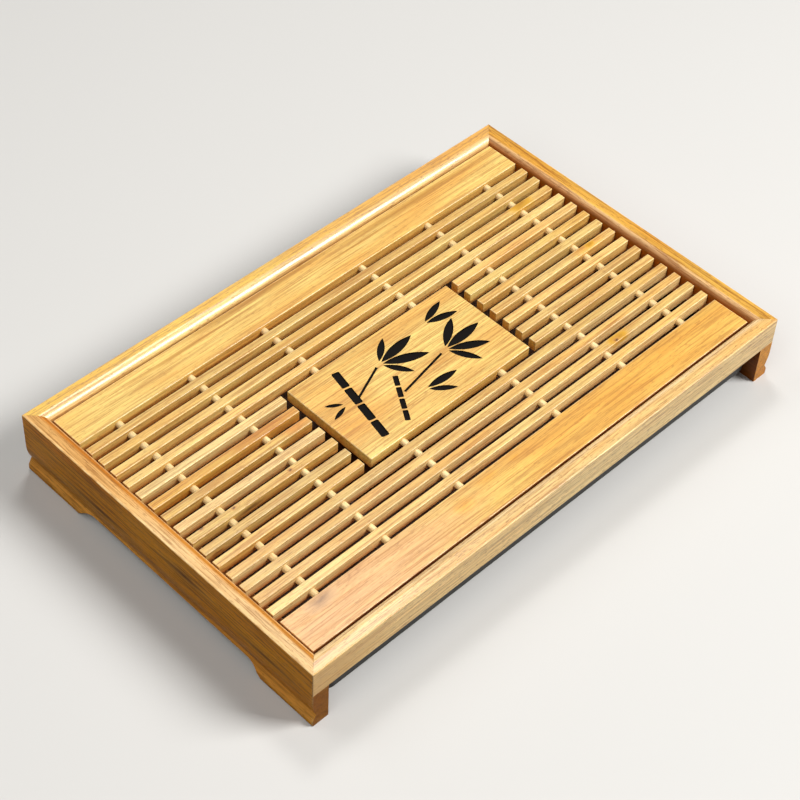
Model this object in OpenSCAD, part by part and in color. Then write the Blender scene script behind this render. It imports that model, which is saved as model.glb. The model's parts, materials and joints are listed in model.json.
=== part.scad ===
// Gongfu tea table: a low wooden tray with a slatted lift-out grille
// over a plastic drip tray. Origin at the bottom centre, X along the
// long side, the front (-Y) is the side that the drip tray pulls out of.

/* [Frame] */
// Outside length, along X
tray_l = 440; // [420:1:470]
// Outside width, along Y
tray_w = 280; // [270:1:300]
// Height from the table to the top of the frame
tray_h = 54; // [50:0.5:64]
// Thickness of the side boards and rails
board_t = 13.5; // [12:0.5:16]
// Height of the front and back rails
rail_h = 22; // [18:0.5:24]
// Radius of the rounded inner top edge
inner_round = 6.5; // [3:0.5:8]
// Radius that eases the outer edges
arris = 0.8; // [0.4:0.1:1.5]
// Width planed off each upright corner
corner_cut = 0.6; // [0.3:0.1:1.5]
// Width of the glue line at each mitre
mitre_line = 0.12; // [0.05:0.01:0.2]

/* [Side board moulding] */
// Depth of the neck below the face of the side board
neck_depth = 3.4; // [1.5:0.1:4]
// Height of the neck above the table
neck_z = 10; // [8.5:0.5:12]
// Flat left on the face between the rail's underside and the moulding
curve_drop = 6; // [2:0.5:9]
// Height of the foot's widest line, where the splay up to the neck starts
toe_z = 4; // [3:0.5:6]
// Radius that eases the bottom edge of the foot
foot_round = 1.5; // [0.5:0.1:1.8]

/* [Arch] */
// Clear width between the feet, at the table
arch_w = 181; // [140:1:200]
// Height of the arch
arch_rise = 8; // [6:0.5:8.5]
// Run of the curve from the foot up to the straight
arch_run = 16; // [10:1:20]
// How far the arch sits towards the front
arch_shift = 3; // [0:0.5:6]

/* [Ledges and runners] */
// Width of the ledges that carry the grille
ledge_w = 8; // [6:0.5:10]
// Height of the ledges' undersides above the undersides of the rails
ledge_lift = 0.8; // [0:0.1:3]
// Width of the runners that carry the drip tray
runner_w = 9; // [7:0.5:12]
// Thickness of the runners
runner_h = 4; // [3:0.5:4]
// Height of the runners' undersides above the top of the arch
runner_lift = 1; // [0.5:0.5:3]
// Setback of the runners behind the front face
runner_setback = 24; // [15:1:40]
// Setback of the runners' back ends from the back face
runner_end = 2; // [1:0.5:6]
// Length of the stop block at the back end of each runner
stop_l = 6; // [4:1:10]
// Height of the stop block above the runner
stop_h = 6; // [4:0.5:8]

/* [Grille] */
// Depth of the grille's top below the top of the frame
recess = 4; // [2:0.5:6]
// Thickness of slats, boards and centre plate
slat_h = 9; // [8:0.5:10]
// Width of a slat: the slats share out what the boards leave, with equal gaps
slat_w = 6.35; // [5.5:0.05:7.5]
// Full-length slats on each side of the centre plate
full_rows = 4; // [3:1:4]
// Rows of short slats beside the centre plate
short_rows = 7; // [5:1:7]
// Width of the front board
front_board_w = 30; // [24:0.5:40]
// Width of the back board
back_board_w = 27.35; // [24:0.05:40]
// Gap between the grille's ends and the side boards
end_gap = 0.75; // [0.5:0.05:2]
// Gap between the grille's long edges and the rails
edge_gap = 1.4; // [0.5:0.05:2]
// Radius that eases the edges of boards and slats
slat_ease = 0.6; // [0.3:0.1:1]

/* [Centre plate] */
// Length of the centre plate, along X
plate_l = 150.5; // [140:0.5:160]
// Gap between the plate and the ends of the short slats
plate_gap = 5.75; // [4:0.25:8]
// Radius that eases the plate's edges
plate_ease = 0.9; // [0.4:0.1:1.5]
// Depth of the carving
carve_d = 0.8; // [0.4:0.1:2]
// Margin between the carved motif and the plate's edges
motif_margin = 5.5; // [3:0.5:12]
// Width of the thicker bamboo culm
culm_w = 6; // [4:0.1:7]
// Width of the longest bamboo leaf
leaf_w = 8; // [5:0.1:9]

/* [Dowels] */
// Diameter of the dowel rods
dowel_d = 5; // [4:0.1:5.5]
// Depth of the dowel centres below the grille's top
dowel_depth = 4.5; // [4:0.1:5]
// From the plate's ends in to the inner dowels
dowel_plate_inset = 28.95; // [15:0.05:45]
// From the short slats' inner ends out to the middle dowels
dowel_slat_inset = 31; // [15:0.5:45]
// From the grille's ends in to the outer dowels
dowel_end_inset = 32.05; // [15:0.05:45]
// Length of dowel held in each board
dowel_grip = 12; // [8:1:16]
// Radial clearance of a dowel in its bore
dowel_fit = 0.1; // [0.05:0.01:0.15]

/* [Drip tray] */
// Gap between the drip tray's rim and the front rail
drip_top_gap = 1.1; // [0.5:0.1:4]
// Wall thickness of the drip tray
drip_wall = 2; // [1.5:0.1:2.5]
// Overhang of the rim beyond the wall
rim_w = 2.6; // [2:0.1:4]
// Height of the rim's skirt
rim_h = 4.5; // [3:0.5:6]
// Thickness of the rim
rim_t = 1.2; // [1:0.1:1.4]
// Gap between the rim and each side board
drip_side_gap = 1.5; // [1:0.1:4]
// Setback of the rim behind the front face
drip_setback = 4; // [2:0.5:12]
// Radius of the drip tray's upright corners
drip_corner = 9; // [7:0.5:20]

/* [Hidden] */
$fn = 64;
// Gap under what slides or lifts off its seat
seat_gap = 0.2;
cut_over = 5;
// Length and height of the field that the bamboo is drawn in
motif_l = 138;
motif_h = 70;
// Gap between the joints of a culm, and from a spray's centre to its leaves
node_gap = 1.3;
leaf_stalk = 3;
leaf_longest = 34;
thin_culm = 0.65;
twig_w = 1.8;

inner_l = tray_l - 2 * board_t;
inner_w = tray_w - 2 * board_t;
rail_z = tray_h - rail_h;

curve_top = rail_z - curve_drop;
curve_rise = curve_top - neck_z;
curve_r = (neck_depth * neck_depth + curve_rise * curve_rise) / (2 * neck_depth);
arch_r = (arch_run * arch_run + arch_rise * arch_rise) / (2 * arch_rise);

grille_l = inner_l - 2 * end_gap;
grille_w = inner_w - 2 * edge_gap;
grille_top = tray_h - recess;
grille_z = grille_top - slat_h;
ledge_z = rail_z + ledge_lift;
ledge_h = grille_z - seat_gap - ledge_z;

rows = 2 * full_rows + short_rows;
field_w = grille_w - front_board_w - back_board_w;
field_y = -grille_w / 2 + front_board_w;
slat_gap = (field_w - rows * slat_w) / (rows + 1);
pitch = slat_w + slat_gap;
plate_w = short_rows * slat_w + (short_rows - 1) * slat_gap;
plate_y = row_y(full_rows + (short_rows - 1) / 2);
short_l = grille_l / 2 - plate_l / 2 - plate_gap;
short_x = grille_l / 2 - short_l / 2;
motif_scale = min((plate_l - 2 * motif_margin) / motif_l, (plate_w - 2 * motif_margin) / motif_h);
dowel_z = grille_top - dowel_depth;
bore_d = dowel_d + 2 * dowel_fit;
dowel_inner = plate_l / 2 - dowel_plate_inset;
dowel_middle = grille_l / 2 - short_l + dowel_slat_inset;
dowel_outer = grille_l / 2 - dowel_end_inset;
dowel_xs = [-dowel_outer, -dowel_middle, -dowel_inner, dowel_inner, dowel_middle, dowel_outer];
dowel_l = field_w + 2 * dowel_grip;
dowel_y = field_y + field_w / 2;

runner_z = arch_rise + runner_lift;
drip_z = runner_z + runner_h + seat_gap;
drip_h = rail_z - drip_top_gap - drip_z;
drip_l = inner_l - 2 * drip_side_gap;
drip_front = -tray_w / 2 + drip_setback;
drip_back = tray_w / 2 - runner_end - stop_l - seat_gap;
drip_w = drip_back - drip_front;
drip_y = (drip_front + drip_back) / 2;

light_wood = "#E9C583";
frame_wood = "#D9A55C";
pale_wood = "#F1D9A6";
plate_wood = "#E3B565";
strip_wood = "#B98246";
tray_black = "#1E1F21";

function row_y(i) = field_y + slat_gap + slat_w / 2 + i * pitch;

// ---- outlines

// A rectangle centred on the origin, with rounded corners
module rounded_rect(size_x, size_y, r) {
    square([size_x - 2 * r, size_y], center = true);
    square([size_x, size_y - 2 * r], center = true);
    for (x = [-1, 1], y = [-1, 1])
        translate([x * (size_x / 2 - r), y * (size_y / 2 - r)])
            circle(r = r);
}

// What a radius takes off the corner of a square blank at the origin
module corner_waste(r) {
    difference() {
        translate([-1, -1]) square(r + 1);
        translate([r, r]) circle(r = r);
    }
}

// Section shared by the rails and the tops of the side boards:
// outer face at x = 0, rounded inner top edge
module frame_section(h) {
    difference() {
        square([board_t, h]);
        translate([0, h]) mirror([0, 1]) corner_waste(arris);
        translate([board_t, h]) rotate(180) corner_waste(inner_round);
    }
}

// The moulding in the outer face of a side board: the face curves in
// to a sharp neck, and the foot splays out again below it
module moulding_waste() {
    difference() {
        translate([-1, neck_z]) square([1 + neck_depth, curve_rise]);
        translate([curve_r, curve_top]) circle(r = curve_r, $fn = 240);
    }
    polygon([[-1, toe_z], [0, toe_z], [neck_depth, neck_z], [-1, neck_z]]);
}

module side_section() {
    difference() {
        frame_section(tray_h);
        moulding_waste();
        corner_waste(foot_round);
    }
}

// Outline of the cut between the feet, in Y and Z
module arch_outline() {
    straight = arch_w - 2 * arch_run;
    translate([-straight / 2, -cut_over]) square([straight, arch_rise + cut_over]);
    for (side = [-1, 1])
        translate([side * straight / 2, arch_rise - arch_r])
            circle(r = arch_r, $fn = 120);
}

// ---- frame

// The block that the frame is cut from: its upright corners are planed off
module frame_block() {
    x = tray_l / 2;
    y = tray_w / 2;
    linear_extrude(tray_h)
        polygon([
            [-x, -y + corner_cut], [-x + corner_cut, -y],
            [x - corner_cut, -y], [x, -y + corner_cut],
            [x, y - corner_cut], [x - corner_cut, y],
            [-x + corner_cut, y], [-x, y - corner_cut]
        ]);
}

// Plan of one rail: its ends are cut at 45 degrees
module rail_plan() {
    half = tray_l / 2;
    polygon([
        [-half + mitre_line, -tray_w / 2],
        [half - mitre_line, -tray_w / 2],
        [half - mitre_line - board_t, -tray_w / 2 + board_t],
        [-half + mitre_line + board_t, -tray_w / 2 + board_t]
    ]);
}

module rail() {
    color(frame_wood)
        intersection() {
            translate([-tray_l / 2, -tray_w / 2, rail_z])
                rotate([90, 0, 90])
                    linear_extrude(tray_l) frame_section(rail_h);
            translate([0, 0, rail_z - 1])
                linear_extrude(rail_h + 2) rail_plan();
            frame_block();
        }
}

module front_rail() {
    rail();
}

module back_rail() {
    mirror([0, 1, 0]) rail();
}

// The corner that the rail takes out of a side board's top
module mitre_waste() {
    translate([0, 0, rail_z - mitre_line])
        linear_extrude(rail_h + cut_over)
            polygon([
                [-tray_l / 2 - 1, -tray_w / 2 - 1],
                [-tray_l / 2 + board_t + 1, -tray_w / 2 - 1],
                [-tray_l / 2 + board_t + 1, -tray_w / 2 + board_t + 1]
            ]);
}

module side_board() {
    color(frame_wood)
        difference() {
            intersection() {
                translate([-tray_l / 2, tray_w / 2, 0])
                    rotate([90, 0, 0])
                        linear_extrude(tray_w) side_section();
                frame_block();
            }
            translate([-tray_l / 2 - cut_over, -arch_shift, 0])
                rotate([90, 0, 90])
                    linear_extrude(board_t + 2 * cut_over) arch_outline();
            mitre_waste();
            mirror([0, 1, 0]) mitre_waste();
        }
}

module left_side_board() {
    side_board();
}

module right_side_board() {
    mirror([1, 0, 0]) side_board();
}

// ---- ledges and runners

module left_ledge() {
    color(strip_wood)
        translate([-inner_l / 2, -inner_w / 2, ledge_z])
            cube([ledge_w, inner_w, ledge_h]);
}

module right_ledge() {
    mirror([1, 0, 0]) left_ledge();
}

module front_ledge() {
    color(strip_wood)
        translate([-inner_l / 2 + ledge_w, -inner_w / 2, ledge_z])
            cube([inner_l - 2 * ledge_w, ledge_w, ledge_h]);
}

module back_ledge() {
    mirror([0, 1, 0]) front_ledge();
}

module left_runner() {
    front = -tray_w / 2 + runner_setback;
    back = tray_w / 2 - runner_end;
    color(strip_wood)
        translate([-inner_l / 2, 0, runner_z]) {
            translate([0, front, 0])
                cube([runner_w, back - front, runner_h]);
            translate([0, back - stop_l, 0])
                cube([runner_w, stop_l, runner_h + stop_h]);
        }
}

module right_runner() {
    mirror([1, 0, 0]) left_runner();
}

// ---- drip tray

module drip_plan(inset) {
    rounded_rect(drip_l - 2 * inset, drip_w - 2 * inset, drip_corner - inset);
}

module drip_tray() {
    color(tray_black)
        translate([0, drip_y, drip_z])
            difference() {
                union() {
                    linear_extrude(drip_h) drip_plan(rim_w);
                    translate([0, 0, drip_h - rim_h])
                        linear_extrude(rim_h) drip_plan(0);
                }
                translate([0, 0, drip_wall])
                    linear_extrude(drip_h) drip_plan(rim_w + drip_wall);
                translate([0, 0, drip_h - rim_h - 1])
                    linear_extrude(rim_h + 1 - rim_t)
                        difference() {
                            drip_plan(rim_t);
                            drip_plan(rim_w);
                        }
            }
}

// ---- grille

// A bar along X, centred in X and Y, its top at z = 0
module eased_bar(l, w, h, r) {
    translate([0, 0, -h / 2])
        intersection() {
            rotate([90, 0, 90])
                linear_extrude(l, center = true) rounded_rect(w, h, r);
            linear_extrude(h, center = true) rounded_rect(l, w, r);
            rotate([90, 0, 0])
                linear_extrude(w, center = true) rounded_rect(l, h, r);
        }
}

// The bores for every dowel that crosses y = y0 to y1
module dowel_bores(y0, y1) {
    for (x = dowel_xs)
        translate([x, y1, dowel_z])
            rotate([90, 0, 0]) cylinder(d = bore_d, h = y1 - y0);
}

module front_board() {
    y = field_y - front_board_w / 2;
    color(light_wood)
        difference() {
            translate([0, y, grille_top])
                eased_bar(grille_l, front_board_w, slat_h, slat_ease);
            dowel_bores(field_y - dowel_grip, field_y + 1);
        }
}

module back_board() {
    front = field_y + field_w;
    color(light_wood)
        difference() {
            translate([0, front + back_board_w / 2, grille_top])
                eased_bar(grille_l, back_board_w, slat_h, slat_ease);
            dowel_bores(front - 1, front + dowel_grip);
        }
}

// A slat in row i, centred on x
module slat(i, x, l) {
    color(light_wood)
        difference() {
            translate([x, row_y(i), grille_top])
                eased_bar(l, slat_w, slat_h, slat_ease);
            dowel_bores(row_y(i) - slat_w, row_y(i) + slat_w);
        }
}

module dowel(x) {
    color(pale_wood)
        translate([x, dowel_y + dowel_l / 2, dowel_z])
            rotate([90, 0, 0]) cylinder(d = dowel_d, h = dowel_l);
}

// ---- centre plate

// A pointed leaf from the origin along X
module leaf(l, w) {
    r = (l * l + w * w) / (4 * w);
    intersection() {
        translate([l / 2, r - w / 2]) circle(r = r, $fn = 180);
        translate([l / 2, w / 2 - r]) circle(r = r, $fn = 180);
    }
}

// Leaves fanned out from one point, the first and last at these angles,
// each as slender as the longest
module leaf_spray(x, y, first, last, lengths) {
    step = (last - first) / (len(lengths) - 1);
    for (i = [0:len(lengths) - 1])
        translate([x, y])
            rotate(first + i * step)
                translate([leaf_stalk, 0])
                    leaf(lengths[i], leaf_w * lengths[i] / leaf_longest);
}

// A culm along X, cut into joints by narrow gaps
module culm(joint, joints, w) {
    for (i = [0:joints - 1])
        translate([(joint + node_gap) * (i + 0.5), 0])
            rounded_rect(joint, w, w / 5);
}

// The carved motif, a thick and a thin culm of bamboo with sprays of leaves
module bamboo() {
    translate([-54, -33]) rotate(78) culm(15.3, 4, culm_w);
    translate([-34, -33]) rotate(58) culm(9.2, 4, culm_w * thin_culm);
    translate([-44, 3]) rotate(23) square([31, twig_w]);
    translate([-17, -13.5]) rotate(11) square([44, twig_w]);
    leaf_spray(-13, 17, 40, -56, [22, 33, 34, 22]);
    leaf_spray(30, -3, 36, -60, [28, 33, 30, 24]);
    leaf_spray(36, 24, 18, -14, [23, 25]);
    leaf_spray(-6, -20, -4, -36, [26, 20]);
    leaf_spray(-53, 5, 148, 196, [13, 14]);
}

module centre_plate() {
    color(plate_wood)
        difference() {
            translate([0, plate_y, grille_top])
                eased_bar(plate_l, plate_w, slat_h, plate_ease);
            dowel_bores(plate_y - plate_w, plate_y + plate_w);
            translate([0, plate_y, grille_top - carve_d])
                linear_extrude(carve_d + 1) scale(motif_scale) bamboo();
        }
}

front_rail();
back_rail();
left_side_board();
right_side_board();
left_ledge();
right_ledge();
front_ledge();
back_ledge();
left_runner();
right_runner();
drip_tray();
front_board();
back_board();
centre_plate();
for (i = [1:full_rows])
    slat(i - 1, 0, grille_l);
for (i = [1:full_rows])
    slat(rows - i, 0, grille_l);
for (i = [1:short_rows])
    slat(full_rows + i - 1, -short_x, short_l);
for (i = [1:short_rows])
    slat(full_rows + i - 1, short_x, short_l);
for (i = [1:len(dowel_xs)])
    dowel(dowel_xs[i - 1]);
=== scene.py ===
import colorsys
import json
import math
import random
import bpy
from mathutils import Matrix, Vector


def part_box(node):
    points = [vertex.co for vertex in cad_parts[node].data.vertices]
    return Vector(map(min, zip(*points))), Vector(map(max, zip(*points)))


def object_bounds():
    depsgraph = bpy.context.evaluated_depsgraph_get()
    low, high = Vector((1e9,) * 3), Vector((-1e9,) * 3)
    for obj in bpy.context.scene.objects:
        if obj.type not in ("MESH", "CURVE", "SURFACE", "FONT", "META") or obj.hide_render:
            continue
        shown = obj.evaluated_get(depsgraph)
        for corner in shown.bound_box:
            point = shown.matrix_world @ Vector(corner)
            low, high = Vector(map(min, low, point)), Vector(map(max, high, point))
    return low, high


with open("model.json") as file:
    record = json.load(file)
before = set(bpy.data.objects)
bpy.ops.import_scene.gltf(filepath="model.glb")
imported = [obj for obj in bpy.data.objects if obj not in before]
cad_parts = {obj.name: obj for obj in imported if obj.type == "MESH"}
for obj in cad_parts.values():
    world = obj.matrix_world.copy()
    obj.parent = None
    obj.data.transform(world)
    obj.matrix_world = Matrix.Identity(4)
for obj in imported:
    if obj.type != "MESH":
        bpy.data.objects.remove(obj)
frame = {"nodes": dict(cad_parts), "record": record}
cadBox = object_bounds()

cadNodes = frame["nodes"]


def linearColour(hexColour):  # sRGB hex to the linear values that nodes take
    parts = [int(hexColour[i:i + 2], 16) / 255 for i in (1, 3, 5)]
    return [c / 12.92 if c <= 0.04045 else ((c + 0.055) / 1.055) ** 2.4 for c in parts] + [1.0]


def shiftColour(hexColour, hue=0.0, saturation=1.0, value=1.0):  # a neighbouring hex colour
    red, green, blue = [int(hexColour[i:i + 2], 16) / 255 for i in (1, 3, 5)]
    h, s, v = colorsys.rgb_to_hsv(red, green, blue)
    shifted = colorsys.hsv_to_rgb((h + hue) % 1, min(s * saturation, 1), min(v * value, 1))
    return "#" + "".join("%02X" % round(c * 255) for c in shifted)


def addNode(tree, kind, sockets=(), out=0, ramp=None, **settings):  # returns one of the node's outputs
    node = tree.nodes.new("ShaderNode" + kind)
    for name, value in settings.items():
        setattr(node, name, value)
    for name, value in sockets.items() if isinstance(sockets, dict) else enumerate(sockets):
        if isinstance(value, bpy.types.NodeSocket):
            tree.links.new(value, node.inputs[name])
        else:
            node.inputs[name].default_value = value
    if ramp:
        stops = node.color_ramp.elements
        while len(stops) < len(ramp):
            stops.new(0.5)
        for stop, (place, hexColour, alpha) in zip(stops, ramp):
            stop.position = place
            stop.color = linearColour(hexColour)[:3] + [alpha]
    return node.outputs[out] if node.outputs else node


covering = {"data_type": "RGBA", "out": 2}  # how a Mix node lays colour 7 over colour 6
glazing = dict(covering, blend_type="MULTIPLY")  # the same, as a stain that darkens what is under it


def newMaterial(name):
    material = bpy.data.materials.new(name)
    material.use_nodes = True
    material.node_tree.nodes.clear()
    return material


def dress(node, material):  # gives a CAD node one material all over
    node.data.materials.clear()
    node.data.materials.append(material)
    for face in node.data.polygons:
        face.material_index = 0


# Rubberwood, planed and sanded, with a clear varnish. Growth rings of uneven width and strength run
# along the grain, broken into streaks, over fine fibres and short brown pores. The colour drifts from
# straw to gold. A look holds the colours, the rings and the plank they are cut from, how strongly each
# pattern shows, and the varnish. sideGrain and sideEdge are how much of the grain and of the pale edges,
# worn and partly a painted highlight, shows on upright faces, and gap is the tea stain, with painted
# shade down in the gap, at the left and at the right end of a drain gap.

baseLook = {
    "pale": "#F6D382", "late": "#AA6C2E", "warm": "#E6A648", "end": "#F2DCB2", "poreColour": "#7A4620",
    "edgeWearAndHighlightColour": "#FBE6B4", "gapTeaAndShadeColour": "#E08C30",
    "ringMm": 3.0, "bend": 4.0, "pithMm": (45, 90), "pithAngle": (200, 340),
    "spread": 0.08, "saturationSpread": 0.05, "hueSpread": 0.003,
    "rings": 0.65, "fibre": 0.6, "streak": 0.2, "pore": 0.4, "drift": 0.6, "sideGrain": 0.8,
    "edge": 0.5, "edgeMm": 0.9, "sideEdge": 0.35, "gap": (0.85, 0.2),
    "roughness": 0.42, "specular": 0.22, "bump": 0.35, "wave": 0.25, "coat": 0.4, "coatRoughness": 0.26,
}
woodPatterns = {  # millimetres along and across the grain, detail, roughness, and an offset of its own
    "fibre": (48, 1.2, 4.0, 0.66, 0),  # fibres and pores are drawn coarse enough to show
    "bend": (200, 200 / 6, 2.5, 0.45, 0),
    "pores": (4.8, 0.65, 1.0, 0.5, 3),
    "breaks": (60, 2.2, 2.0, 0.6, 5),
    "drift": (95, 17, 2.5, 0.5, 7),
    "streak": (120, 2.4, 2.0, 0.55, 9),
    "wave": (22, 7, 1.0, 0.4, 11),
    "chips": (9, 3, 2.0, 0.6, 13),
}
noiseSpans = {  # the noise values at which a pattern sets in and is full
    "fibre": (0.47, 0.62), "pores": (0.6, 0.68), "breaks": (0.38, 0.62), "drift": (0.38, 0.66),
    "streak": (0.3, 0.7), "chips": (0.35, 0.62), "dullness": (0.25, 0.75),
}
turnSpans = {  # how far a face is turned up, or along the grain, when an effect sets in and is full
    "level": (0.3, 0.8), "endGrain": (0.75, 0.95), "fibreEnds": (0.7, 0.95),
}
sideStretch = 1.2  # patterns are wider on sides, which are cut along the rings
shiftSpan = (-40, 40)  # patterns are shifted by another amount in each piece
shiftShares = (1.0, 0.7, 1.3)  # and along each axis
ringShape = {
    "spread": (0.85, 1.2),  # narrowest and widest rings of a piece, against the look's ringMm
    "crowding": 3.0,  # rings by which some years lie closer
    "crowdingScale": 0.31,
    "swirl": 3.5,  # rings by which a knot bends them, and how many of its radii away that ends
    "swirlReach": 3.2,
    "faintest": 0.15,  # strength of the faintest year, and of a ring where it is broken
    "broken": 0.1,
    "profile": [(0.0, "#000000", 1), (0.45, "#202020", 1), (0.88, "#FFFFFF", 1), (1.0, "#000000", 1)],
}
finish = {
    "endFibres": 0.35,  # how much of the fibres shows on end grain
    "streakLift": 0.4,  # how far a pale streak is lifted, against the depth of a dark one
    "wornFull": 0.35,  # the share of edgeMm where the pale edge, worn and painted highlight, is full
    "wornLeast": 0.1,  # the pale edge that is left where it is least
    "clearTop": 0.35,  # the upper share of a drain gap that stays clear of tea and of painted shade
    "roughnessSteps": (-0.05, 0.08),  # from the look's roughness, between fibres and on them
    "poreDepth": 1.2,  # against the relief of the fibres
    "fineM": 0.0001,  # relief of fibres and pores, in metres
    "waveM": 0.0006,  # relief of the waves in the varnish
}
markRim = {"wander": 0.7, "waves": 1.7}  # how widely the rim of a mark wanders, in radii, and how often
markKinds = {
    "knot": [(0.0, "#3A200C", 0.95), (0.25, "#6E4219", 0.85), (0.45, "#B57A35", 0.7),
             (1.0, "#D9A55C", 0.0)],
    "grey": [(0.0, "#6C4828", 0.8), (0.3, "#987048", 0.65), (0.65, "#BC9264", 0.4),
             (1.0, "#D4AA78", 0.0)],
    "amber": [(0.0, "#A87208", 0.95), (0.55, "#C89218", 0.85), (1.0, "#E2B044", 0.0)],
    "streak": [(0.0, "#4A2C12", 0.9), (0.5, "#7F5526", 0.6), (1.0, "#C99A55", 0.0)],
    # brown is painted shade, laid over the grain
    "brown": [(0.0, "#B97F20", 0.6), (0.5, "#BE8628", 0.45), (1.0, "#C89238", 0.0)],
}
broadMarks = {  # these are changes of tone, but the last is painted shade; the grain runs on over them
    "heart": [(0.0, "#DC9838", 0.6), (0.5, "#E09E40", 0.5), (1.0, "#E8AC50", 0.0)],
    "figure": [(0.0, "#9E6A20", 0.9), (0.5, "#B07E2E", 0.65), (1.0, "#D0A050", 0.0)],
    "honey": [(0.0, "#E09A28", 0.75), (0.5, "#E6A63C", 0.5), (1.0, "#ECB658", 0.0)],
    "russet": [(0.0, "#C0762A", 0.8), (0.6, "#C88030", 0.6), (1.0, "#D89640", 0.0)],
    # painted shade, darker over the left end of the front board
    "rosy": [(0.0, "#DAA46A", 0.9), (0.5, "#DEA96A", 0.8), (1.0, "#E8BC74", 0.0)],
}


def grainPattern(tree, coords, grain, along, across, detail=2.0, roughness=0.5, shift=0.0):
    sizes = {"X": across, "Y": across, "Z": across * sideStretch}
    sizes[grain] = along
    place = addNode(tree, "Mapping", {"Vector": coords, "Scale": [1000 / sizes[axis] for axis in "XYZ"],
                                      "Location": [shift * share for share in shiftShares]})
    return addNode(tree, "TexNoise", {"Vector": place, "Scale": 1.0, "Detail": detail,
                                      "Roughness": roughness})


def woodPattern(tree, coords, grain, name, shift):
    *measures, offset = woodPatterns[name]
    return grainPattern(tree, coords, grain, *measures, shift + offset)


def markReach(tree, coords, centre, radii):  # 0 in the middle of a mark, 1 at its ragged rim
    wander = markRim["wander"]
    place = addNode(tree, "Mapping", {"Vector": coords, "Scale": [1000 / r for r in radii],
                                      "Location": [-c / r for c, r in zip(centre, radii)]})
    wobble = addNode(tree, "TexNoise", {"Vector": place, "Scale": markRim["waves"], "Detail": 2.0},
                     out="Color")
    wobbled = addNode(tree, "VectorMath", (wobble, [wander] * 3, place), operation="MULTIPLY_ADD")
    centred = addNode(tree, "VectorMath", (wobbled, [wander / 2] * 3), operation="SUBTRACT")
    return addNode(tree, "VectorMath", (centred,), out="Value", operation="LENGTH")


def layMarks(tree, colour, marks, reaches, kinds):
    for (kind, centre, radii), reach in zip(marks, reaches):
        if kind in kinds:
            mark = addNode(tree, "ValToRGB", (reach,), ramp=kinds[kind])
            alpha = mark.node.outputs["Alpha"]
            colour = addNode(tree, "Mix", {0: alpha, 6: colour, 7: mark}, **covering)
    return colour


def edgeDistance(tree, coords, lo, hi):  # metres from the nearest edge of the piece's own box
    centre = [(a + b) / 2 for a, b in zip(lo, hi)]
    half = [(b - a) / 2 for a, b in zip(lo, hi)]
    offset = addNode(tree, "VectorMath", (coords, centre), operation="SUBTRACT")
    reach = addNode(tree, "VectorMath", (offset,), operation="ABSOLUTE")
    inside = addNode(tree, "VectorMath", (half, reach), operation="SUBTRACT")
    x, y, z = addNode(tree, "SeparateXYZ", (inside,)).node.outputs
    low = addNode(tree, "Math", (x, y), operation="MINIMUM")
    high = addNode(tree, "Math", (x, y), operation="MAXIMUM")
    rest = addNode(tree, "Math", (high, z), operation="MINIMUM")
    return addNode(tree, "Math", (low, rest), operation="MAXIMUM")


def pithDistance(tree, coords, look, grain, lo, hi, rng):  # in rings, from a pith outside the piece
    angle = math.radians(rng.uniform(*look["pithAngle"]))
    pith = rng.uniform(*look["pithMm"])
    ringMm = look["ringMm"] * rng.uniform(*ringShape["spread"])
    offset = {"X": pith * math.cos(angle), "Y": pith * math.cos(angle), "Z": pith * math.sin(angle)}
    middle = [(a + b) * 500 for a, b in zip(lo, hi)]  # half the sum, in millimetres
    away = [0.0 if axis == grain else -(place + offset[axis]) / ringMm
            for place, axis in zip(middle, "XYZ")]
    scale = [0.0 if axis == grain else 1000 / ringMm for axis in "XYZ"]
    place = addNode(tree, "Mapping", {"Vector": coords, "Location": away, "Scale": scale})
    return addNode(tree, "VectorMath", (place,), out="Value", operation="LENGTH")


def growthRings(tree, coords, look, grain, radius, shift, marks, reaches):  # 1 on a line of late wood
    # the rings bend along the grain and round a knot, and lie closer in some years
    bend = woodPattern(tree, coords, grain, "bend", shift)
    bent = addNode(tree, "Math", (bend, look["bend"], radius), operation="MULTIPLY_ADD")
    for (kind, centre, radii), reach in zip(marks, reaches):
        if kind in ("knot", "grey"):
            swirl = addNode(tree, "MapRange",
                            (reach, 0.0, ringShape["swirlReach"], ringShape["swirl"], 0.0),
                            interpolation_type="SMOOTHERSTEP")
            bent = addNode(tree, "Math", (bent, swirl), operation="ADD")
    crowding = addNode(tree, "TexNoise", {"W": bent, "Scale": ringShape["crowdingScale"], "Detail": 2.0},
                       noise_dimensions="1D")
    years = addNode(tree, "Math", (crowding, ringShape["crowding"], bent), operation="MULTIPLY_ADD")

    # a line at the end of each year, stronger in some years, and broken along the grain
    ring = addNode(tree, "Math", (years,), operation="FRACT")
    line = addNode(tree, "ValToRGB", (ring,), ramp=ringShape["profile"])
    year = addNode(tree, "Math", (years,), operation="FLOOR")
    chance = addNode(tree, "TexWhiteNoise", {"W": year}, noise_dimensions="1D")
    strength = addNode(tree, "MapRange", (chance, 0.0, 1.0, ringShape["faintest"], 1.0))
    breaks = woodPattern(tree, coords, grain, "breaks", shift)
    whole = addNode(tree, "MapRange", (breaks, *noiseSpans["breaks"], ringShape["broken"], 1.0))
    late = addNode(tree, "Math", (line, strength), operation="MULTIPLY")
    return addNode(tree, "Math", (late, whole), operation="MULTIPLY")


def plankColours(look, rng):  # each piece comes from another plank, so its tone and hue differ a little
    tone = rng.uniform(0, 1)
    hue = rng.uniform(-look["hueSpread"], look["hueSpread"])
    saturation = 1 + look["saturationSpread"] * tone
    value = 1 - look["spread"] * tone
    return [linearColour(shiftColour(look[key], hue, saturation, value))
            for key in ("pale", "late", "warm")]


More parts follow.
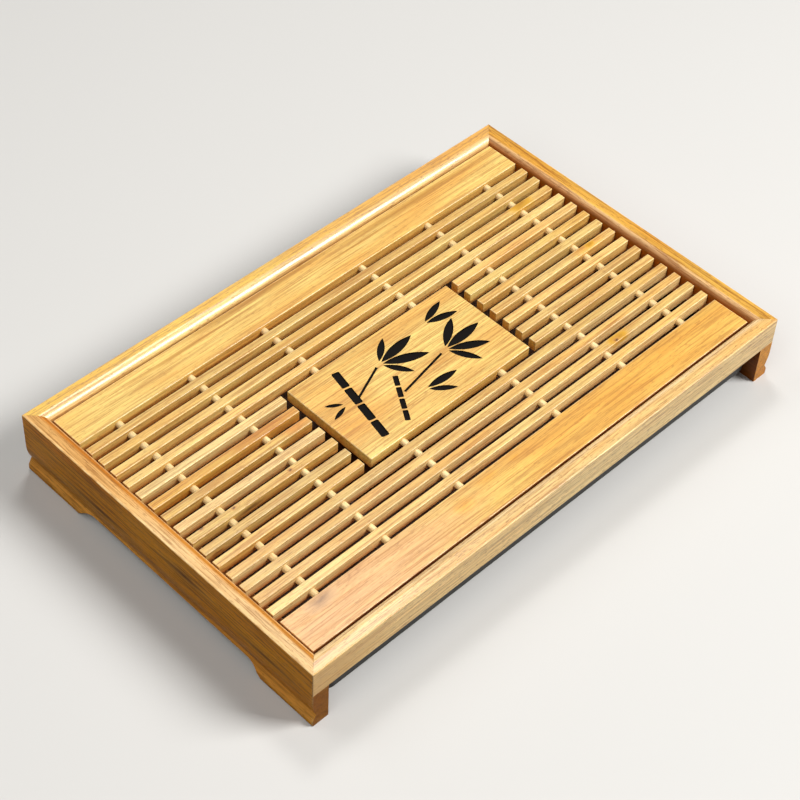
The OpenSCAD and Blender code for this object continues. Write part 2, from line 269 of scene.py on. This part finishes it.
def paintLightAndShadeByFacing(tree, colour, normal, tints):  # painted light and shade: faces that look one way are made paler, as painted light, and others darker, as painted shade
    for direction, low, high, hexColour, strength, blend in tints:
        lean = addNode(tree, "VectorMath", (normal, direction), out="Value", operation="DOT_PRODUCT")
        amount = addNode(tree, "MapRange", (lean, low, high, 0.0, strength))
        colour = addNode(tree, "Mix", {0: amount, 6: colour, 7: linearColour(hexColour)},
                         **dict(covering, blend_type=blend))
    return colour


def wearAndHighlightEdges(tree, colour, coords, up, chips, look, lo, hi):  # pale along the edges, unevenly: rubbed wear, and partly a painted highlight where the eased edges catch light
    edge = edgeDistance(tree, coords, lo, hi)
    width = look["edgeMm"] * 0.001
    rub = addNode(tree, "MapRange", (edge, width * finish["wornFull"], width, look["edge"], 0.0))
    uneven = addNode(tree, "MapRange", (chips, *noiseSpans["chips"], finish["wornLeast"], 1.0))
    above = addNode(tree, "MapRange", (up, *turnSpans["level"], look["sideEdge"], 1.0))
    unevenOnLevel = addNode(tree, "Math", (uneven, above), operation="MULTIPLY")
    wornAndLit = addNode(tree, "Math", (rub, unevenOnLevel), operation="MULTIPLY")
    return addNode(tree, "Mix", {0: wornAndLit, 6: colour, 7: linearColour(look["edgeWearAndHighlightColour"])}, **covering)


def stainAndShadeGaps(tree, colour, coords, look, top, sink):  # tea on the sides of drain gaps with painted shade, most of it low down
    x, y, z = addNode(tree, "SeparateXYZ", (coords,)).node.outputs
    # painted shade: stronger at the left end, away from the key light, and deeper down the gap
    teaAndShadeAlongX = addNode(tree, "MapRange", (x, cadBox[0][0], cadBox[1][0], *look["gap"]))
    deep = addNode(tree, "MapRange", (z, top - sink, top - sink * finish["clearTop"], 1.0, 0.0))
    teaAndShade = addNode(tree, "Math", (deep, teaAndShadeAlongX), operation="MULTIPLY")
    return addNode(tree, "Mix", {0: teaAndShade, 6: colour, 7: linearColour(look["gapTeaAndShadeColour"])}, **glazing)


def varnish(tree, colour, fibre, porous, wave, look):
    # pores and fibres are open under the varnish, which itself lies in long low waves
    least, most = [look["roughness"] + step for step in finish["roughnessSteps"]]
    dullness = addNode(tree, "MapRange", (fibre, *noiseSpans["dullness"], least, most))
    relief = addNode(tree, "Math", (porous, -finish["poreDepth"], fibre), operation="MULTIPLY_ADD")
    fine = addNode(tree, "Bump", {"Height": relief, "Strength": look["bump"], "Distance": finish["fineM"]})
    waves = {"Height": wave, "Strength": look["wave"], "Distance": finish["waveM"]}
    surface = addNode(tree, "Bump", dict(waves, Normal=fine))
    coatNormal = addNode(tree, "Bump", waves)
    return addNode(tree, "BsdfPrincipled", {
        "Base Color": colour, "Roughness": dullness, "Specular IOR Level": look["specular"],
        "Normal": surface, "Coat Weight": look["coat"], "Coat Roughness": look["coatRoughness"],
        "Coat Normal": coatNormal})


def makeWood(name, look, grain, lo, hi, rng, marks=(), tints=(), sink=0.0):
    material = newMaterial(name)
    tree = material.node_tree
    coords = addNode(tree, "TexCoord", out="Object")
    normal = addNode(tree, "TexCoord", out="Normal")
    shift = rng.uniform(*shiftSpan)
    reaches = [markReach(tree, coords, centre, radii) for kind, centre, radii in marks]
    radius = pithDistance(tree, coords, look, grain, lo, hi, rng)
    late = growthRings(tree, coords, look, grain, radius, shift, marks, reaches)
    fibre, pores, drift, streak, wave, chips = [
        woodPattern(tree, coords, grain, key, shift)
        for key in ("fibre", "pores", "drift", "streak", "wave", "chips")]
    along = [1.0 if axis == grain else 0.0 for axis in "XYZ"]
    facing = addNode(tree, "VectorMath", (normal, along), out="Value", operation="DOT_PRODUCT")
    endOn = addNode(tree, "Math", (facing,), operation="ABSOLUTE")
    up = addNode(tree, "SeparateXYZ", (normal,), out="Z")
    shown = addNode(tree, "MapRange", (up, *turnSpans["level"], look["sideGrain"], 1.0))

    # the ground colour, with what changes its tone
    pale, dark, warm = plankColours(look, rng)
    warmth = addNode(tree, "MapRange", (drift, *noiseSpans["drift"], 0.0, look["drift"]))
    colour = addNode(tree, "Mix", {0: warmth, 6: pale, 7: warm}, **covering)
    colour = layMarks(tree, colour, marks, reaches, broadMarks)
    colour = paintLightAndShadeByFacing(tree, colour, normal, tints)

    # rings, streaks, fibres and pores
    ringed = addNode(tree, "Math", (shown, look["rings"]), operation="MULTIPLY")
    rings = addNode(tree, "Math", (late, ringed), operation="MULTIPLY")
    colour = addNode(tree, "Mix", {0: rings, 6: colour, 7: dark}, **covering)
    shade = addNode(tree, "MapRange", (streak, *noiseSpans["streak"], 1 - look["streak"],
                                       1 + look["streak"] * finish["streakLift"]))
    colour = addNode(tree, "Mix", {0: 1.0, 6: colour, 7: shade}, **glazing)
    dense = addNode(tree, "MapRange", (fibre, *noiseSpans["fibre"], 0.0, look["fibre"]))
    cut = addNode(tree, "MapRange", (endOn, *turnSpans["fibreEnds"], 1.0, finish["endFibres"]))
    visible = addNode(tree, "Math", (cut, shown), operation="MULTIPLY")
    threads = addNode(tree, "Math", (dense, visible), operation="MULTIPLY")
    colour = addNode(tree, "Mix", {0: threads, 6: colour, 7: dark}, **covering)
    porous = addNode(tree, "MapRange", (pores, *noiseSpans["pores"], 0.0, 1.0))
    opened = addNode(tree, "Math", (porous, look["pore"]), operation="MULTIPLY")
    colour = addNode(tree, "Mix", {0: opened, 6: colour, 7: linearColour(look["poreColour"])}, **covering)
    colour = layMarks(tree, colour, marks, reaches, markKinds)

    # end grain has a tone of its own, mostly a darker one
    ended = addNode(tree, "MapRange", (endOn, *turnSpans["endGrain"], 0.0, 1.0))
    colour = addNode(tree, "Mix", {0: ended, 6: colour, 7: linearColour(look["end"])}, **glazing)
    colour = wearAndHighlightEdges(tree, colour, coords, up, chips, look, lo, hi)
    if sink:
        colour = stainAndShadeGaps(tree, colour, coords, look, hi.z, sink)
    shader = varnish(tree, colour, fibre, porous, wave, look)
    addNode(tree, "OutputMaterial", {"Surface": shader})
    return material


print("wood ready")

# The frame: two rails and two side boards, and inside them the strips that carry the rest. A mark is its
# kind, centre and radii, in millimetres. Painted light and shade by facing is given as the way that a face
# looks, the leans at which it starts and is full, a colour, a strength and a blend.

frameLook = dict(baseLook, pale="#E8C67E", late="#A2682C", warm="#E2A444", edgeWearAndHighlightColour="#FADFA4", ringMm=3.6,
                 edge=0.12, edgeMm=2.0, fibre=0.65, pore=0.5, coat=0.6, coatRoughness=0.24)
backLook = dict(frameLook, pale="#FDCF54", warm="#F6AE30", rings=0.5, streak=0.12, coat=1.0,
                coatRoughness=0.27, roughness=0.38, specular=0.5)
leftLook = dict(frameLook, pale="#EEC68E", late="#8A5220", warm="#DEA864", end="#9C7620", rings=0.5,
                streak=0.18, pore=0.4, ringMm=4.2, coat=0.06, specular=0.06, sideGrain=1.2, edge=0.5,
                edgeMm=2.2, sideEdge=0.0)
rightLook = dict(leftLook, pale="#F7C25A", late="#945818", warm="#E8A238", end="#F0D488", rings=0.62,
                 fibre=0.7, streak=0.25, pore=0.5, coat=0.2, specular=0.1, sideGrain=0.8, edge=0.25,
                 edgeMm=1.1)
stripLook = dict(baseLook, pale="#9A6230", late="#6A3C18", warm="#84501F", coat=0.05, roughness=0.6,
                 bump=0.8, pore=0.6, edge=0.2)
# painted shade on the frame's inner walls, down beside the grille
innerWallShade = "#8E4A20"
framePieces = {
    "front_rail": {
        "look": frameLook, "grain": "X",
        # painted shade, darker over the left end of the front face
        "marks": [("brown", (-224, -140, 40), (85, 3.5, 34))],
        # painted light on the front face, a painted sheen on the top of the inner roundover, and painted
        # shade on the inner wall
        "tints": [((0, -1, 0), 0.6, 0.95, "#FFDE96", 0.58, "MIX"),
                  ((0, 1, 0), 0.05, 0.25, "#FFE4AE", 0.6, "MIX"),
                  ((0, 1, 0), 0.8, 1.0, innerWallShade, 0.8, "MULTIPLY")]},
    "back_rail": {
        "look": backLook, "grain": "X",
        "marks": [("heart", (160, 136, 54), (150, 20, 14))],
        # a painted highlight along the inner roundover, and painted shade on the inner wall below it
        "tints": [((0, -1, 0), 0.1, 0.3, "#FFF0C4", 0.3, "MIX"),
                  ((0, -1, 0), 0.88, 1.0, innerWallShade, 0.6, "MULTIPLY")]},
    "left_side_board": {
        "look": leftLook, "grain": "Y",
        "marks": [("heart", (-214, 90, 54), (20, 90, 12)), ("streak", (-220, -22, 38), (6, 30, 4)),
                  ("streak", (-220, 62, 27), (5, 46, 3)), ("streak", (-220, -96, 30), (5, 34, 2.5))],
        # painted shade on the outer face and on the inner roundover where it turns from the light, a band
        # of painted highlight along the roundover, and painted shade on the inner wall
        "tints": [((-1, 0, 0), 0.55, 0.95, "#FFCE4C", 1.0, "MULTIPLY"),
                  ((1, 0, 0), 0.0, 0.3, "#E0B468", 1.0, "MULTIPLY"),
                  ((1, 0, 0), 0.55, 0.75, "#F8CE94", 0.6, "MIX"),
                  ((1, 0, 0), 0.85, 1.0, innerWallShade, 0.8, "MULTIPLY")]},
    "right_side_board": {
        "look": rightLook, "grain": "Y",
        # the outer face is made darker and more orange; a paler band along the inner roundover is a painted
        # highlight, and the roundover and inner wall grow dark red-brown below it as painted shade
        "tints": [((1, 0, 0), 0.55, 0.95, "#FFD084", 1.0, "MULTIPLY"),
                  ((-1, 0, 0), 0.15, 0.4, "#FAD49C", 0.75, "MIX"),
                  ((-1, 0, 0), 0.2, 0.95, "#A25410", 1.0, "MIX")]},
    "front_ledge": {"look": stripLook, "grain": "X"},
    "back_ledge": {"look": stripLook, "grain": "X"},
    "left_ledge": {"look": stripLook, "grain": "Y"},
    "right_ledge": {"look": stripLook, "grain": "Y"},
    "left_runner": {"look": stripLook, "grain": "Y"},
    "right_runner": {"look": stripLook, "grain": "Y"},
}
rng = random.Random(44)
for name, piece in framePieces.items():
    lo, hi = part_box(name)
    wood = makeWood("varnished_rubberwood_" + name, piece["look"], piece["grain"], lo, hi, rng,
                    piece.get("marks", ()), piece.get("tints", ()))
    dress(cadNodes[name], wood)
print("frame dressed")

# The grille: boards and slats threaded on dowels. Looks and painted light and shade by facing go by a
# piece's name without its number, and the tones and marks are those of single pieces that stand out.

boardLook = dict(baseLook, pale="#F2CC72", bend=6.0, pore=0.3, drift=0.75)
slatLook = dict(baseLook, pale="#EFCC7E", pore=0.32, spread=0.09, pithAngle=(0, 360), pithMm=(20, 60),
                edge=0.4)
frontSlatLook = dict(slatLook, gap=(1.0, 0.0))
dowelLook = dict(baseLook, pale="#F6DDA6", late="#DCB678", warm="#E8C07C", spread=0.03, drift=0.3,
                 pore=0.12, edge=0.0, coat=0.1, ringMm=2.0, pithMm=(5, 20))
grilleLooks = {
    "front_board": boardLook, "back_board": boardLook, "front_slat": frontSlatLook, "back_slat": slatLook,
    "left_slat": slatLook, "right_slat": slatLook, "dowel": dowelLook,
}
grilleFacingLightAndShade = {
    # painted shade on the front board's front side, down in the gap against the rail, and painted light on
    # the front sides of the front slats
    "front_board": [((0, -1, 0), 0.6, 0.9, "#7A2C0C", 0.9, "MULTIPLY")],
    "front_slat": [((0, -1, 0), 0.5, 0.9, "#FFE2A6", 0.5, "MIX")],
}
grilleTones = {
    "front_board": {"value": 0.98, "saturation": 1.07},
    "back_board": {"value": 1.03, "saturation": 0.96, "hue": 0.003},
    "left_slat_7": {"saturation": 0.88},
    "left_slat_6": {"value": 0.94, "saturation": 1.25},
    "left_slat_5": {"value": 0.91, "saturation": 1.12},
    "left_slat_4": {"value": 1.02, "saturation": 0.88},
    "left_slat_2": {"value": 0.9},
    "right_slat_6": {"value": 1.03, "hue": 0.006},
    "front_slat_2": {"value": 0.97, "saturation": 1.06},
    "front_slat_3": {"value": 0.95, "saturation": 1.08},
    "front_slat_4": {"value": 0.94, "saturation": 1.06},
    "back_slat_1": {"value": 0.91, "saturation": 1.08},
}
grilleMarks = {
    # the first mark is painted shade, darker over the board's left end where less light falls
    "front_board": [("rosy", (-175, -112, 50), (170, 40, 24)), ("heart", (110, -108, 50), (190, 36, 20)),
                    ("honey", (-30, -101, 50), (16, 5, 6)), ("honey", (-58, -107, 50), (12, 8, 6)),
                    ("honey", (-5, -101, 50), (7, 3, 5)), ("grey", (-176, -100, 50), (17, 8, 6))],
    "back_board": [("figure", (-25, 123, 50), (105, 3.4, 8)), ("figure", (118, 119.5, 50), (120, 3.8, 8)),
                   ("figure", (-95, 117, 50), (70, 1.8, 8)), ("figure", (60, 114, 50), (70, 1.2, 8))],
    "back_slat_3": [("amber", (176, 65, 50), (15, 8, 7))],
    "right_slat_4": [("honey", (180, 2, 50), (22, 6, 6)), ("amber", (182, 2, 50), (6, 3, 4))],
    "front_slat_2": [("amber", (127, -74, 50), (12, 6, 6)), ("knot", (124.5, -75, 50), (4, 3, 4))],
    "left_slat_6": [("russet", (-108, 29, 47), (52, 9, 14))],
    "left_slat_5": [("russet", (-92, 17, 47), (16, 8, 12)), ("knot", (-144, 18.5, 50), (4, 2.4, 3))],
    "left_slat_3": [("knot", (-120, -10.5, 50), (3.6, 2.6, 4)), ("knot", (-167.5, -9.7, 50), (3.6, 2.6, 4)),
                    ("knot", (-193.5, -8.7, 50), (4.5, 2.2, 4)), ("streak", (-157, -14, 46), (18, 3, 3))],
    "left_slat_2": [("knot", (-196, -27.5, 45), (10, 4, 3.5))],
}


def tonedLook(look, hue=0.0, saturation=1.0, value=1.0):
    tones = {key: shiftColour(look[key], hue, saturation, value) for key in ("pale", "late", "warm")}
    return dict(look, **tones)


for name in frame["record"]["behaviour"]["bodies"]["grille"]:
    if name == "centre_plate":
        continue
    family = name.rstrip("_1234567")
    look = tonedLook(grilleLooks[family], **grilleTones.get(name, {}))
    lo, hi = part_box(name)
    grain, sink = ("Y", 0.0) if family == "dowel" else ("X", hi.z - lo.z)
    wood = makeWood("varnished_rubberwood_" + name, look, grain, lo, hi, rng,
                    grilleMarks.get(name, ()), grilleFacingLightAndShade.get(family, ()), sink)
    dress(cadNodes[name], wood)
print("grille dressed")

# The centre plate, carved with bamboo. The cuts are filled by brush with black lacquer paint, which
# dries dull and a little uneven.

plateLook = dict(baseLook, pale="#F8D27A", late="#B27432", warm="#E2A048", end="#FFFFF0", bend=6.0,
                 rings=0.8, fibre=0.75, streak=0.26, pore=0.3)
plateMarks = [("heart", (-58, 4, 50), (36, 40, 20))]
carving = {
    "deepMm": 0.8, "marginMm": 2.0, "slackMm": 0.05, "brushMm": 2.2,
    "paint": [(0.4, "#080605", 1), (0.75, "#15100C", 1)],
    "dullSpan": (0.3, 0.7), "roughness": (0.5, 0.75), "specular": 0.06, "bump": 0.4, "bumpM": 0.0001,
}


def makeLacquer(name):
    material = newMaterial(name)
    tree = material.node_tree
    coords = addNode(tree, "TexCoord", out="Object")
    cloud = addNode(tree, "TexNoise", {"Vector": coords, "Scale": 1000 / carving["brushMm"], "Detail": 3.0})
    colour = addNode(tree, "ValToRGB", (cloud,), ramp=carving["paint"])
    dull = addNode(tree, "MapRange", (cloud, *carving["dullSpan"], *carving["roughness"]))
    bump = addNode(tree, "Bump", {"Height": cloud, "Strength": carving["bump"],
                                  "Distance": carving["bumpM"]})
    shader = addNode(tree, "BsdfPrincipled", {
        "Base Color": colour, "Roughness": dull, "Specular IOR Level": carving["specular"],
        "Normal": bump})
    addNode(tree, "OutputMaterial", {"Surface": shader})
    return material


def paintCarving(node, material, lo, hi):  # faces sunk below the top take the paint, the outer edges don't
    node.data.materials.append(material)
    margin = carving["marginMm"] * 0.001
    for face in node.data.polygons:
        centre = node.matrix_world @ face.center
        inside = all(lo[i] + margin < centre[i] < hi[i] - margin for i in (0, 1))
        sunkMm = (hi.z - centre.z) * 1000
        if inside and carving["slackMm"] < sunkMm < carving["deepMm"] + carving["slackMm"]:
            face.material_index = 1


lo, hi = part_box("centre_plate")
wood = makeWood("varnished_rubberwood_centre_plate", plateLook, "X", lo, hi, rng, plateMarks,
                sink=hi.z - lo.z)
dress(cadNodes["centre_plate"], wood)
paintCarving(cadNodes["centre_plate"], makeLacquer("brushed_black_lacquer"), lo, hi)
print("centre plate dressed")

# The drip tray: ABS, injection moulded, soft gloss. It shows a faint orange peel, dull scuffs along the
# way it slides, and a brown film of tea on its floor.

dripLook = {
    "plastic": [(0.3, "#0E0B0A", 1), (0.75, "#1C1815", 1)], "cloudMm": 1000 / 22,  # 22 to a metre
    "film": "#4E2D16", "filmMm": 14, "filmSpan": (0.3, 0.6), "filmCover": (0.6, 0.95),
    "levelSpan": (0.6, 1.0), "scuffMm": (45, 1.1), "scuffSpan": (0.45, 0.75),
    "roughness": (0.28, 0.38), "specular": 0.2, "peelMm": 0.8, "peel": 0.2, "peelM": 0.0002,
}


def makeAbs(name):
    material = newMaterial(name)
    tree = material.node_tree
    coords = addNode(tree, "TexCoord", out="Object")
    cloud = addNode(tree, "TexNoise", {"Vector": coords, "Scale": 1000 / dripLook["cloudMm"],
                                       "Detail": 3.0})
    scuffs = grainPattern(tree, coords, "Y", *dripLook["scuffMm"])
    peel = addNode(tree, "TexNoise", {"Vector": coords, "Scale": 1000 / dripLook["peelMm"], "Detail": 1.0})
    colour = addNode(tree, "ValToRGB", (cloud,), ramp=dripLook["plastic"])

    # tea dries in pools on the faces that look up
    up = addNode(tree, "SeparateXYZ", (addNode(tree, "TexCoord", out="Normal"),), out="Z")
    level = addNode(tree, "MapRange", (up, *dripLook["levelSpan"], 0.0, 1.0))
    pools = addNode(tree, "TexNoise", {"Vector": coords, "Scale": 1000 / dripLook["filmMm"], "Detail": 3.0})
    dried = addNode(tree, "MapRange", (pools, *dripLook["filmSpan"], *dripLook["filmCover"]))
    film = addNode(tree, "Math", (level, dried), operation="MULTIPLY")
    colour = addNode(tree, "Mix", {0: film, 6: colour, 7: linearColour(dripLook["film"])}, **covering)
    dull = addNode(tree, "MapRange", (scuffs, *dripLook["scuffSpan"], *dripLook["roughness"]))
    bump = addNode(tree, "Bump", {"Height": peel, "Strength": dripLook["peel"],
                                  "Distance": dripLook["peelM"]})
    shader = addNode(tree, "BsdfPrincipled", {
        "Base Color": colour, "Roughness": dull, "Specular IOR Level": dripLook["specular"],
        "Normal": bump})
    addNode(tree, "OutputMaterial", {"Surface": shader})
    return material


dress(cadNodes["drip_tray"], makeAbs("moulded_abs_drip_tray"))
print("drip tray dressed")

# Camera, floor and lights. The lens and sensor are in millimetres, the place in metres.

view = {
    "place": (-0.70195, -0.64923, 1.06534), "azimuth": 43.153, "elevation": 47.575, "roll": 3.342,
    "lens": 92.98, "sensor": 36,
}


def placeCamera():
    az, el, roll = [math.radians(view[key]) for key in ("azimuth", "elevation", "roll")]
    forward = Vector((math.cos(el) * math.cos(az), math.cos(el) * math.sin(az), -math.sin(el)))
    right = forward.cross(Vector((0, 0, 1))).normalized()
    up = right.cross(forward)
    across = math.cos(roll) * right + math.sin(roll) * up
    upward = math.cos(roll) * up - math.sin(roll) * right
    data = bpy.data.cameras.new("camera")
    data.lens = view["lens"]
    data.sensor_width = view["sensor"]
    camera = bpy.data.objects.new("camera", data)
    turn = Matrix((across, upward, -forward)).transposed().to_4x4()
    camera.matrix_world = Matrix.Translation(view["place"]) @ turn
    bpy.context.collection.objects.link(camera)
    bpy.context.scene.camera = camera


backdrop = {"colour": "#E9E7E2", "light": 0.03}  # it gives next to no light
floorLook = {
    "size": 16.0, "colour": "#CDCBC7", "bounce": "#4C4A47", "roughness": 0.8, "specular": 0.1,
    "fadeStart": 1.1, "fadeEnd": 2.4,
}


def seenRays(tree):  # 1 for rays that come from the camera, straight or by way of gloss or glass
    rays = tree.nodes.new("ShaderNodeLightPath").outputs
    shine = addNode(tree, "Math", (rays["Is Glossy Ray"], rays["Is Transmission Ray"]), operation="MAXIMUM")
    return addNode(tree, "Math", (rays["Is Camera Ray"], shine), operation="MAXIMUM")


def makeFloor():
    bpy.ops.object.select_all(action="DESELECT")
    bpy.ops.mesh.primitive_plane_add(size=floorLook["size"])
    floor = bpy.context.object
    floor.name = "floor"
    material = newMaterial("pale_paper_floor")
    tree = material.node_tree
    seen = seenRays(tree)
    colour = addNode(tree, "Mix", {0: seen, 6: linearColour(floorLook["bounce"]),
                                   7: linearColour(floorLook["colour"])}, **covering)
    paper = addNode(tree, "BsdfPrincipled", {"Base Color": colour, "Roughness": floorLook["roughness"],
                                             "Specular IOR Level": floorLook["specular"]})
    far = addNode(tree, "Emission", {"Color": linearColour(backdrop["colour"]), "Strength": 1.0})
    coords = addNode(tree, "TexCoord", out="Object")
    away = addNode(tree, "VectorMath", (coords,), out="Value", operation="LENGTH")
    distance = addNode(tree, "MapRange", (away, floorLook["fadeStart"], floorLook["fadeEnd"], 0.0, 1.0))
    fade = addNode(tree, "Math", (distance, seen), operation="MULTIPLY")
    shader = addNode(tree, "MixShader", (fade, paper, far))  # the floor runs out into the backdrop
    addNode(tree, "OutputMaterial", {"Surface": shader})
    floor.data.materials.append(material)


lamps = {  # azimuth and elevation that the light comes from, metres away, metres wide, watts
    "keySoftbox": {"azimuth": -51, "elevation": 43, "away": 2.8, "size": 1.1, "watts": 93},
    "backSoftbox": {"azimuth": 48, "elevation": 64, "away": 2.0, "size": 0.45, "watts": 11},
    "leftCard": {"azimuth": 200, "elevation": 50, "away": 1.8, "size": 1.0, "watts": 10.3},
    "farCard": {"azimuth": 120, "elevation": 55, "away": 2.0, "size": 1.0, "watts": 7},
}


def placeLamps():
    for name, lamp in lamps.items():
        az, el = math.radians(lamp["azimuth"]), math.radians(lamp["elevation"])
        towards = Vector((math.cos(el) * math.cos(az), math.cos(el) * math.sin(az), math.sin(el)))
        data = bpy.data.lights.new(name, "AREA")
        data.shape = "SQUARE"
        data.size = lamp["size"]
        data.energy = lamp["watts"]
        light = bpy.data.objects.new(name, data)
        light.location = towards * lamp["away"]
        light.rotation_euler = towards.to_track_quat("Z", "Y").to_euler()
        bpy.context.collection.objects.link(light)


def setWorld():  # the backdrop behind the floor
    world = bpy.data.worlds.new("studio")
    world.use_nodes = True
    tree = world.node_tree
    tree.nodes.clear()
    strength = addNode(tree, "MapRange", (seenRays(tree), 0.0, 1.0, backdrop["light"], 1.0))
    background = addNode(tree, "Background", {"Color": linearColour(backdrop["colour"]),
                                              "Strength": strength})
    addNode(tree, "OutputWorld", {"Surface": background})
    bpy.context.scene.world = world


placeCamera()
makeFloor()
placeLamps()
setWorld()
bpy.context.scene.view_settings.view_transform = "Standard"
print("stage set")
